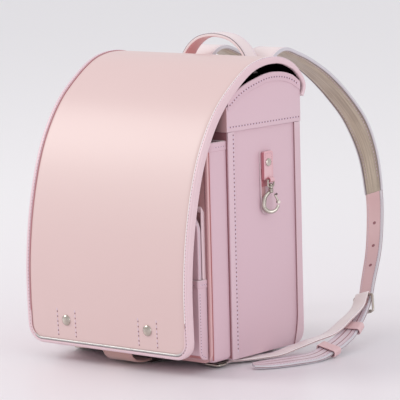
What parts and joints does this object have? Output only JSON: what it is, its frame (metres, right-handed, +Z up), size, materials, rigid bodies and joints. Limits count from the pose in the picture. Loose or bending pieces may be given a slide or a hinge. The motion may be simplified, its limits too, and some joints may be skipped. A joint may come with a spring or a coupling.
{
  "type": "school ransel",
  "caption": "Stiff leather school backpack with a rounded flap down its whole front, a slim front pocket, padded shoulder straps, a grab handle and a snap hook at the side.",
  "frame": {"origin": "on the floor, below the middle of the overall width and depth, straps included", "axes": "+X towards the side that carries the hook, +Y from the flap's front towards the straps, +Z up"},
  "size_m": [0.389, 0.4054, 0.3769],
  "materials": {
    "pink_leather": "pearly semi-gloss",
    "side_leather": "semi-gloss",
    "trim_leather": "semi-gloss",
    "beige_lining": "soft satin",
    "silver_piping": "reflective",
    "nickel": "polished nickel"
  },
  "bodies": {
    "root": {"back_pad": "beige_lining", "back_panel": "pink_leather", "bottom_lock": "nickel", "bottom_stud_left": "nickel", "bottom_stud_right": "nickel", "buckle_left": "nickel", "buckle_right": "nickel", "flap": "pink_leather", "flap_hem": "trim_leather", "flap_rivet_left": "nickel", "flap_rivet_right": "nickel", "front_panel": "trim_leather", "front_pocket": "side_leather", "handle": "pink_leather", "hook_guard": "trim_leather", "hook_ring": "nickel", "hook_rivet": "nickel", "hook_tab": "trim_leather", "keeper_lower_left": "trim_leather", "keeper_lower_right": "trim_leather", "keeper_upper_left": "trim_leather", "keeper_upper_right": "trim_leather", "latch_belt": "trim_leather", "lower_belt_left": "trim_leather", "lower_belt_right": "trim_leather", "main_body": "side_leather", "pocket_gusset": "pink_leather", "pocket_lid": "side_leather", "pocket_piping": "trim_leather", "reflective_piping": "silver_piping", "side_binding_left": "trim_leather", "side_binding_right": "trim_leather", "side_cap_left": "side_leather", "side_cap_right": "side_leather", "side_hem_left": "trim_leather", "side_hem_right": "trim_leather", "small_compartment": "side_leather", "strap_anchor_left": "nickel", "strap_anchor_right": "nickel", "strap_cover_left": "pink_leather", "strap_cover_right": "pink_leather", "strap_hanger": "nickel", "strap_lower_left": "trim_leather", "strap_lower_right": "trim_leather", "strap_pad_left": "beige_lining", "strap_pad_right": "beige_lining"},
    "snap_hook": {"snap_hook": "nickel"},
    "hook_gate": {"hook_gate": "nickel"}
  },
  "joints": [
    {"name": "hook_swivel", "type": "hinge", "parent": "root", "child": "snap_hook", "pos_m": [0.13, -0.0491, 0.2], "axis": [0, 0, 1], "range_deg": [0, 48]},
    {"name": "gate_pivot", "type": "hinge", "parent": "snap_hook", "child": "hook_gate", "pos_m": [0.13495, -0.04052, 0.186], "axis": [0.866, -0.5, 0], "range_deg": [0, 25], "stiffness_Nm_per_rad": 0.01, "springref_deg": -20.05}
  ]
}
